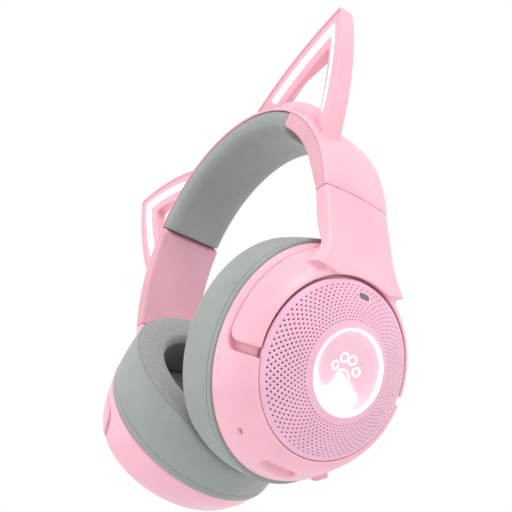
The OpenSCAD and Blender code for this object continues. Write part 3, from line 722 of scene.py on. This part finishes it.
# The neck's two faces, each as heights above the cup's centre and distances from the headset's middle.
NECK_OUTSIDE = ((30, 33.5, 37, 43, 60), (76.3, 77.2, 77.7, 77.8, 77.75))
NECK_INSIDE = ((35, 44, 52, 60, 72), (72.5, 73.0, 71.0, 70.7, 71.3))
NECK_LOW = 36
NECK_FLARE_R = 42


def neck_outer_x(y, height):
    """How far out the neck's face lies, in the headset's frame, at a height above the cup centres."""
    bulge = CROWN * (1 - ((y - BAND_MID) / BAND_HALF) ** 2)
    face = np.interp(height, *NECK_OUTSIDE)
    return face + np.clip(bulge, -0.4, CROWN) * smooth_step((height - 42) / 20)


def yoke_field(x, y, z):
    body = body_field(x, y, z)
    out = CUP_X + x * math.cos(LEAN) + z * math.sin(LEAN)
    height = z * math.cos(LEAN) - x * math.sin(LEAN)
    skin = smax(body, rounded_corner(YOKE_BACK - x, YOKE_LOW - z, 5.0), 0.7)
    plan = smin(np.hypot(y, z) - NECK_FLARE_R, np.maximum(np.abs(y - BAND_MID) - BAND_HALF, 20 - z), 12)
    neck = smax(out - neck_outer_x(y, height), plan, 1.8)
    neck = smax(neck, np.interp(height, *NECK_INSIDE) - out, 1.2)
    neck = smax(neck, height - (ARC_Z - CUP_Z + JOINT_Z - JOINT_GAP), 0.5)
    neck = smax(neck, NECK_LOW - z, 0.5)
    solid = smin(skin, neck, 5.0)
    solid = smax(solid, -YOKE_T - body, 0.8)
    solid = smax(solid, GRILLE_R + 0.75 - np.hypot(y, z - 0.45), 0.7)
    return smax(solid, -np.maximum(x - YOKE_BACK, body - YOKE_GAP), 0.6)


def slot_distance(along, across, length, width):
    """Distance from a slot outline with round ends."""
    return np.hypot(np.maximum(np.abs(along) - (length - width) / 2, 0), across) - width / 2


BUTTON_X = -13.6
BUTTON_ANGLES = (66, 47, 28)
MIC_X = -9.5
MIC_ANGLE = 50
PORT_X = -8.0
PORT_TURN = math.radians(8)


def housing_cuts(x, y, z):
    """The openings that only the left cup has: port pocket, microphone hole and button slots."""
    turned_y = y * math.cos(PORT_TURN) - z * math.sin(PORT_TURN)
    turned_z = z * math.cos(PORT_TURN) + y * math.sin(PORT_TURN)
    qa, qb = np.abs(turned_y) - 7.2, np.abs(x - PORT_X) - 2.3
    pocket = np.hypot(np.maximum(qa, 0), np.maximum(qb, 0)) + np.minimum(np.maximum(qa, qb), 0) - 0.8
    pocket = np.maximum(pocket, turned_z + 41.5)
    socket = np.maximum(slot_distance(turned_y, x - PORT_X, 9.3, 3.5), turned_z + 36)
    cuts = np.minimum(pocket, socket)
    a = math.radians(MIC_ANGLE)
    radial = -y * math.cos(a) - z * math.sin(a)
    along = y * math.sin(a) - z * math.cos(a)
    microphone = np.maximum(slot_distance(along, x - MIC_X, 2.9, 1.6), 36 - radial)
    cuts = np.minimum(cuts, microphone)
    for degrees in BUTTON_ANGLES:
        a = math.radians(degrees)
        radial = y * math.cos(a) - z * math.sin(a)
        along = -y * math.sin(a) - z * math.cos(a)
        hole = np.maximum(slot_distance(along, x - BUTTON_X, 8.1, 4.2), 36 - radial)
        cuts = np.minimum(cuts, hole)
    return cuts


def housing_field(side):
    def field(x, y, z):
        body = body_field(x, y, z)
        sunk = np.maximum(rounded_corner(YOKE_BACK - YOKE_GAP - x, SLOT_LOW - z, 5.0),
                          -YOKE_T - YOKE_GAP - body)
        solid = smax(body, -sunk, 0.6)
        solid = smax(solid, -YOKE_T - YOKE_GAP - WALL_T - body, 0.5)
        solid = smax(solid, SHELL_BACK - x, 0.9)
        reach = np.hypot(y, z)
        solid = smax(solid, -np.maximum(reach - GRILLE_R - 0.15, -1.9 - x), 0.5)
        solid = smax(solid, -np.maximum(reach - 32.5, -6 - x), 0.4)
        if side == "left":
            solid = smax(solid, -housing_cuts(x, y, z), 0.5)
        return solid
    return field


def yoke(side):
    points, faces = region_mesh(yoke_field, (-29, -49, -5), (2.5, 49, 74), 0.62)
    piece = cup_piece("yoke_cover", side, points, faces, "yoke", [PINK])
    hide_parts(f"yoke_{side}")


def housing(side):
    points, faces = region_mesh(housing_field(side), (-22, -48.5, -51), (1.5, 48.5, 51), 0.62)
    piece = cup_piece("cup_shell", side, points, faces, "cup", [PINK])
    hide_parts(f"cup_housing_{side}")


def dome_x(d):
    return math.sqrt(DOME_R ** 2 - d ** 2) - math.sqrt(DOME_R ** 2 - GRILLE_R ** 2)


LIP_R = 16.2
LIP_HALF = 0.3
HOLE_ROWS = 12
HOLE_COUNT = 80
HOLES_FROM = 19.35
HOLES_TO = 33.4
HOLE_R = 0.38
WINDOW_Y = 0.1
WINDOW_Z = 29.5


def grille(side):
    """Domed cover with rings of real holes, each ring turned half a pitch from the next."""
    quarter = 2 * math.pi / HOLE_COUNT / 4
    columns = HOLE_COUNT * 4
    pitch = (HOLES_TO - HOLES_FROM) / HOLE_ROWS
    points, faces = [], []

    def ring_points(r, x):
        return [(x, r * math.sin(i * quarter), r * math.cos(i * quarter)) for i in range(columns)]

    def ring_strip(profile):
        start = len(points)
        for r, x in profile:
            points.extend(ring_points(r, x))
        faces.extend((start + lattice(len(profile), columns, wrap_columns=True)).tolist())

    hub = LIP_R + LIP_HALF + 0.05
    inner = [(hub, dome_x(hub) - 1.2), (hub, dome_x(hub) - 0.25), (hub + 0.12, dome_x(hub) - 0.05),
             (hub + 0.4, dome_x(hub + 0.4))]
    inner += [(r, dome_x(r)) for r in np.linspace(hub + 0.9, HOLES_FROM, 5)]
    ring_strip(inner)
    outer = [(r, dome_x(r)) for r in np.linspace(HOLES_TO, GRILLE_R - 0.6, 4)]
    outer += [(GRILLE_R - 0.3, dome_x(GRILLE_R - 0.3) - 0.03), (GRILLE_R - 0.08, dome_x(GRILLE_R) - 0.2),
              (GRILLE_R, dome_x(GRILLE_R) - 0.5), (GRILLE_R, -1.6)]
    ring_strip(outer)
    for row in range(HOLE_ROWS):
        low, high = HOLES_FROM + row * pitch, HOLES_FROM + (row + 1) * pitch
        middle = (low + high) / 2
        size = HOLE_R * min(1.0, 0.8 + 0.2 * (middle - HOLES_FROM) / 9)
        for j in range(HOLE_COUNT):
            first = j * 4 + 2 * (row % 2)
            rim = [(low, first + k) for k in range(4)]
            rim += [(low + pitch * k / 4, first + 4) for k in range(4)]
            rim += [(high, first + 4 - k) for k in range(4)]
            rim += [(high - pitch * k / 4, first) for k in range(4)]
            turn = (first + 2) * quarter
            centre = (middle * math.sin(turn), middle * math.cos(turn))
            shut = side == "left" and slot_distance(centre[0] - WINDOW_Y, centre[1] - WINDOW_Z, 6.8, 4.0) < 0
            start = len(points)
            for r, i in rim:
                points.append((dome_x(r), r * math.sin(i * quarter), r * math.cos(i * quarter)))
            if shut:
                points.append((dome_x(middle), *centre))
                faces.extend([start + k, start + 16, start + (k + 1) % 16] for k in range(16))
                continue
            for k in range(16):
                r, i = rim[k]
                away = np.array([r * math.sin(i * quarter), r * math.cos(i * quarter)]) - centre
                y, z = centre + away / np.linalg.norm(away) * size
                points.append((dome_x(math.hypot(y, z)), y, z))
            faces.extend([start + k, start + 16 + k, start + 16 + (k + 1) % 16, start + (k + 1) % 16]
                         for k in range(16))
    piece = cup_piece("grille_cover", side, points, faces, "cup", [GRILLE_PINK])
    weld(piece)
    thick = piece.modifiers.new("thickness", "SOLIDIFY")
    thick.thickness = 1.1 * MM
    thick.offset = -1
    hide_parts(f"grille_{side}")
    return piece


def grille_liner(side):
    """Dark cloth behind the grille's holes."""
    depth, columns = 1.2, 144
    radii = np.linspace(LIP_R + 0.6, GRILLE_R - 0.8, 14)
    points = turned_points([(r, dome_x(r) - depth) for r in radii], columns)
    faces = lattice(len(radii), columns, wrap_columns=True)
    cup_piece("grille_liner", side, points, faces, "cup", [LINER])


def weld(piece):
    """Joins points that lie on each other, and turns all faces outwards."""
    mesh = bmesh.new()
    mesh.from_mesh(piece.data)
    bmesh.ops.remove_doubles(mesh, verts=mesh.verts, dist=0.00002)
    bmesh.ops.recalc_face_normals(mesh, faces=mesh.faces)
    mesh.to_mesh(piece.data)
    mesh.free()


def turned_points(profile, columns):
    """A profile (radius, x) turned round the cup's axis."""
    points = []
    for r, x in profile:
        for i in range(columns):
            a = 2 * math.pi * i / columns
            points.append((x, r * math.sin(a), r * math.cos(a)))
    return points


def light_ring(side):
    inner, outer, top = LIP_R - LIP_HALF, LIP_R + LIP_HALF, dome_x(LIP_R) + 0.3
    foot = 3.8
    section = rounded([(inner, foot, 0.1), (outer, foot, 0.1), (outer, top, 0.28), (inner, top, 0.28)], 5)
    columns = 144
    points = turned_points(section, columns)
    faces = lattice(len(section), columns, wrap_rows=True, wrap_columns=True)
    piece = cup_piece("ring_light", side, points, faces, "cup", [LIGHT])
    weld(piece)
    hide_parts(f"light_ring_{side}")


DISH_FLOOR = dome_x(RING_R) - 3.2


def dish_rise(r):
    return smooth_step(r / 17.5) * 1.9


def dish(side):
    """The glossy hollow in the middle of the grille, which carries the lit mark."""
    edge = dome_x(LIP_R) - 1.3
    profile = [(0.01, DISH_FLOOR)]
    for r in np.linspace(1, 15.4, 24):
        rise = dish_rise(r)
        profile.append((r, DISH_FLOOR + rise))
    profile += [(15.7, edge), (15.84, edge - 0.15), (15.84, edge - 1.5)]
    columns = 144
    points = turned_points(profile, columns)
    faces = lattice(len(profile), columns, wrap_columns=True)
    piece = cup_piece("centre_dish", side, points, faces, "cup", [DISH_PINK])
    weld(piece)
    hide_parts(f"centre_cap_{side}")


# The rings of the mark, as (y, z, outer radius).
PAW_RINGS = ((-5.4, 1.2, 1.9), (-2.1, 4.9, 2.1), (2.1, 4.9, 2.1), (5.4, 1.2, 1.9), (0, -2.6, 3.5))


def paw_mark(side):
    """A plain paw print of thin lit rings, lying in the dish."""
    points, faces = [], []
    for cy, cz, outer in PAW_RINGS:
        middle, half, columns = outer - 0.35, 0.28, 48
        start = len(points)
        for i in range(columns):
            a = 2 * math.pi * i / columns
            for k in range(8):
                b = 2 * math.pi * k / 8
                r = middle + half * math.cos(b)
                y, z = cy + r * math.cos(a), cz + r * math.sin(a)
                floor = DISH_FLOOR + dish_rise(math.hypot(y, z))
                points.append((floor + half * 0.6 * math.sin(b) + 0.05, y, z))
        faces.extend((start + lattice(columns, 8, wrap_rows=True, wrap_columns=True)).tolist())
    piece = cup_piece("paw_mark", side, points, faces, "cup", [LIGHT])
    weld(piece)
    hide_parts(f"emblem_light_{side}")


def status_window():
    """Smoked oval lens over the status light, near the top of the left grille."""
    loops = []
    lens = ((0.02, -0.06), (0.5, -0.06), (0.9, -0.06), (0.97, -0.06))
    collar = ((1.0, -0.03), (1.06, 0.02), (1.12, 0.0), (1.14, -0.3))
    for scale, lift in lens + collar:
        loop = []
        for i in range(64):
            a = 2 * math.pi * i / 64
            y = WINDOW_Y + scale * 1.2 * math.cos(a) + 1.4 * math.copysign(1, math.cos(a))
            z = WINDOW_Z + scale * 1.2 * math.sin(a)
            loop.append((dome_x(math.hypot(y, z)) + 0.12 + lift, y, z))
        loops.append(loop)
    points = np.array(loops).reshape(-1, 3)
    faces = lattice(len(loops), 64, wrap_columns=True)
    zones = [0 if f // 64 < len(lens) else 1 for f in range(len(faces))]
    piece = cup_piece("status_window", "left", points, faces, "cup", [SMOKED, GRILLE_PINK],
                      zones)
    weld(piece)


# ---------- Cushions ----------

CUSHION_Y, CUSHION_Z = 42.8, 50.6
WELL_Y, WELL_Z = 28.6, 32.7
CUSHION_BACK = -20.8
FACE_SEAM_X = -45.0
WALL_SEAM_X = -23.6
MIDLINE_GAP = 0.6
AROUND = 220
SEWN_X = -22.5


def cushion_section():
    """The cushion's section as (share, x, zone): share 0 is on the well's wall and 1 on the outer wall.
    Zones: 0 outer wall, 1 face, 2 well wall, 3 seam thread."""
    wall = [(0.985, CUSHION_BACK, 0), (0.997, -21.6, 0), (1.0, -22.8, 0), (0.99, WALL_SEAM_X, 3),
            (0.994, -23.9, 0), (1.004, -24.4, 0)]
    for x in np.linspace(-26, -42.6, 12):
        wall.append((1.004 + 0.018 * math.sin(math.pi * (x + 24) / -20.5), x, 0))
    wall += [(0.99, -43.9, 0), (0.972, -44.6, 0), (0.955, -44.85, 3), (0.942, -44.9, 1)]
    face = []
    for t in np.linspace(0.06, 1, 16):
        share = 0.93 - 0.815 * t
        lift = math.sin(math.pi * min(1.0, 0.16 + 0.62 * t)) ** 0.6
        face.append((share, -45.1 - 1.9 * lift * (1 - 0.35 * t ** 3), 1))
    roll = [(0.07, -45.4, 1), (0.02, -44.2, 1), (-0.02, -42.4, 2)]
    well = [(-0.03 + 0.03 * t, -42 + 18.5 * t, 2) for t in np.linspace(0.08, 1, 10)]
    back = [(0.1, CUSHION_BACK - 2.4, 2), (0.5, CUSHION_BACK - 1.2, 2), (0.9, CUSHION_BACK, 0)]
    return wall + face + roll + well + back


def oval(angle, share):
    y = WELL_Y + (CUSHION_Y - WELL_Y) * share
    z = WELL_Z + (CUSHION_Z - WELL_Z) * share
    return y * math.sin(angle), z * math.cos(angle)


def cushion_points():
    section = cushion_section()
    points = []
    for i in range(AROUND):
        a = 2 * math.pi * i / AROUND
        for share, x, _ in section:
            y, z = oval(a, share)
            points.append((x, y, z))
    return np.array(points), section


def pressed_flat(points):
    """The lower rims of the two cushions rest on each other at the midline, so they are flat there."""
    p = np.array(points, float)
    x = CUP_X + p[:, 0] * math.cos(LEAN) + p[:, 2] * math.sin(LEAN)
    soft = 2.5
    over = MIDLINE_GAP + soft - x
    pressed = np.where(over > 0, MIDLINE_GAP + soft * np.exp(-np.maximum(over, 0) / soft), x)
    move = pressed - x
    p[:, 0] += move * math.cos(LEAN)
    p[:, 2] += move * math.sin(LEAN)
    return p


def puffed(points, faces):
    """How far each point moves when the cover is filled: a cloth simulation on a coarse copy."""
    mesh = bpy.data.meshes.new("filling")
    mesh.from_pydata((points * MM).tolist(), [], [list(map(int, f)) for f in faces])
    filling = bpy.data.objects.new("filling", mesh)
    bpy.context.scene.collection.objects.link(filling)
    bpy.context.view_layer.objects.active = filling
    remesh = filling.modifiers.new("even", "REMESH")
    remesh.mode = "VOXEL"
    remesh.voxel_size = 1.8 * MM
    bpy.ops.object.modifier_apply(modifier=remesh.name)
    before = np.array([v.co for v in filling.data.vertices])
    held = filling.vertex_groups.new(name="held")
    for v in filling.data.vertices:
        x = v.co.x / MM
        seam = min(abs(x - FACE_SEAM_X), abs(x - WALL_SEAM_X))
        if x > SEWN_X or seam < 0.8:
            held.add([v.index], 1.0, "REPLACE")
    cloth = filling.modifiers.new("cover", "CLOTH")
    cloth.settings.quality = 6
    cloth.settings.mass = 0.15
    cloth.settings.tension_stiffness = 18
    cloth.settings.compression_stiffness = 12
    cloth.settings.bending_stiffness = 0.4
    cloth.settings.vertex_group_mass = "held"
    cloth.settings.use_pressure = True
    cloth.settings.uniform_pressure_force = 4.0
    cloth.settings.effector_weights.gravity = 0
    cloth.collision_settings.use_collision = False
    for step in range(1, 21):
        bpy.context.scene.frame_set(step)
    evaluated = filling.evaluated_get(bpy.context.evaluated_depsgraph_get())
    after = np.array([v.co for v in evaluated.data.vertices])
    move = (after - before) / MM
    bpy.data.objects.remove(filling)
    bpy.context.scene.frame_set(1)
    limit = 1.1
    size = np.linalg.norm(move, axis=1)
    move *= (limit * np.tanh(size / limit) / np.maximum(size, 1e-9))[:, None]
    tree = kdtree.KDTree(len(before))
    for i, p in enumerate(before):
        tree.insert(p, i)
    tree.balance()
    out = np.zeros_like(points)
    for i, p in enumerate(points * MM):
        near = tree.find_n(p, 8)
        weights = np.array([1 / (d + 0.0004) for _, _, d in near])
        out[i] = (weights[:, None] * move[[k for _, k, _ in near]]).sum(0) / weights.sum()
    return out


def cushions():
    points, section = cushion_points()
    faces = lattice(AROUND, len(section), wrap_rows=True, wrap_columns=True)
    zones = np.array([section[(f % len(section))][2] for f in range(len(faces))])
    seams = np.tile([1.0 if zone != 3 else 0.0 for _, _, zone in section], AROUND)
    points = points + puffed(points, faces) * seams[:, None]
    points = pressed_flat(points)
    for side in SIDES:
        piece = cup_piece("ear_cushion_cover", side, points, faces, "cup",
                          [LEATHER, CLOTH, LEATHER_DARK, THREAD], zones)
        weld(piece)
        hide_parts(f"ear_cushion_{side}")


def scrim(side):
    """Thin plain cloth stretched over the speaker plate, a little domed."""
    half_y, half_z = 30.9, 34.9
    rings, columns = 22, 96
    points = []
    for k in range(rings + 1):
        t = k / rings
        for i in range(columns):
            a = 2 * math.pi * i / columns
            dome = 0.8 * (1 - t * t)
            points.append((-22.95 - 0.1 - dome, half_y * t * math.sin(a), half_z * t * math.cos(a)))
    faces = lattice(rings + 1, columns, wrap_columns=True)
    piece = cup_piece("speaker_scrim", side, points, flipped(faces), "cup", [SCRIM])
    weld(piece)
    thick = piece.modifiers.new("thickness", "SOLIDIFY")
    thick.thickness = 0.35 * MM
    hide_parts(f"driver_cloth_{side}")


# ---------- CAD nodes that are shown as they are ----------

def paint_nodes():
    # The screw covers take the inner frame's darker pink, which is painted shade.
    plain = {
        "headband_screw_covers": SHADE_PAINTED_PINK, "headband_screws": STEEL, "headband_spring_band": STEEL,
        "headband_wire": BLACK, "main_board": BOARD, "battery": POUCH, "usb_socket": STEEL,
        "microphone": BLACK, "power_button": BUTTON_PINK, "volume_up_button": BUTTON_PINK,
        "volume_down_button": BUTTON_PINK,
    }
    paired = {
        "ear_led_board": BOARD, "slider_guide": BLACK, "detent_spring": STEEL, "slider_strip": STEEL,
        "slider_screws": STEEL, "pivot_pins": STEEL, "baffle": BLACK, "baffle_screws": STEEL,
        "cup_led_board": BOARD, "driver": BLACK, "driver_diaphragm": FILM, "cushion_ring": BLACK,
    }
    for name, material in paired.items():
        for side in SIDES:
            plain[f"{name}_{side}"] = material
    for name, material in plain.items():
        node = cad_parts[name]
        node.data.materials.clear()
        node.data.materials.append(material)
    for name in ("power_button", "volume_up_button", "volume_down_button"):
        end_bevel(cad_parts[name], 0.35)
    end_bevel(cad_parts["headband_screw_covers"], 0.15)


# ---------- Stage, light and camera ----------

def stage():
    floor = bpy.data.meshes.new("floor")
    size, low = 6.0, -0.62
    floor.from_pydata([(-size, -size, low), (size, -size, low), (size, size, low), (-size, size, low)], [],
                      [(0, 1, 2, 3)])
    material, tree, shader = new_material("floor", 0.8)
    tone = ramp(tree, noise(tree, 3, 2.0), (0.86, 0.86, 0.87, 1), (0.9, 0.9, 0.9, 1))
    tree.links.new(tone, shader.inputs["Base Color"])
    floor.materials.append(material)
    plane = bpy.data.objects.new("floor", floor)
    bpy.context.scene.collection.objects.link(plane)
    world = bpy.data.worlds.new("studio")
    bpy.context.scene.world = world
    world.use_nodes = True
    background = world.node_tree.nodes["Background"]
    background.inputs["Color"].default_value = (1.0, 1.0, 1.0, 1)
    background.inputs["Strength"].default_value = 1.0
    bpy.context.scene.view_settings.view_transform = "Standard"


def area_light(name, place, target, size, power, rgb=(255, 255, 255)):
    data = bpy.data.lights.new(name, "AREA")
    data.shape = "RECTANGLE"
    data.size, data.size_y = size
    data.energy = power
    data.color = linear(rgb)[:3]
    lamp = bpy.data.objects.new(name, data)
    bpy.context.scene.collection.objects.link(lamp)
    lamp.location = place
    lamp.rotation_euler = (Vector(target) - Vector(place)).to_track_quat("-Z", "Y").to_euler()
    return lamp


def lights():
    middle = (0, 0, 0.11)
    area_light("key", (0.9, -0.35, 0.75), middle, (0.7, 0.7), 5)
    area_light("fill", (-0.7, -0.9, 0.3), middle, (0.8, 0.8), 2)
    disc, way = Vector((0.065, 0, 0.033)), Vector((0.74, 0.66, -0.2))
    sheen = area_light("dish_sheen", disc + way * 1.2, disc, (0.5, 0.3), 4, (244, 240, 255))
    sheen.visible_diffuse = False


def camera():
    """The camera stands to the wearer's left, in front and well below, looking up."""
    data = bpy.data.cameras.new("camera")
    data.sensor_width = 36
    data.lens = 48.69
    eye = bpy.data.objects.new("camera", data)
    bpy.context.scene.collection.objects.link(eye)
    right = Vector((0.61251, 0.79045, -0.00432))
    up = Vector((0.44832, -0.34288, 0.82549))
    back = Vector((0.65103, -0.50756, -0.56440))
    matrix = Matrix((right, up, back)).transposed().to_4x4()
    matrix.translation = Vector((231.395, -173.432, CUP_Z - 113.285)) * MM
    eye.matrix_world = matrix
    bpy.context.scene.camera = eye


camera()
stage()
lights()
outer_shell()
inner_frame()
head_pad()
for cup_side in SIDES:
    ear(cup_side)
    yoke(cup_side)
    housing(cup_side)
    grille(cup_side)
    grille_liner(cup_side)
    light_ring(cup_side)
    dish(cup_side)
    paw_mark(cup_side)
    scrim(cup_side)
status_window()
cushions()
paint_nodes()
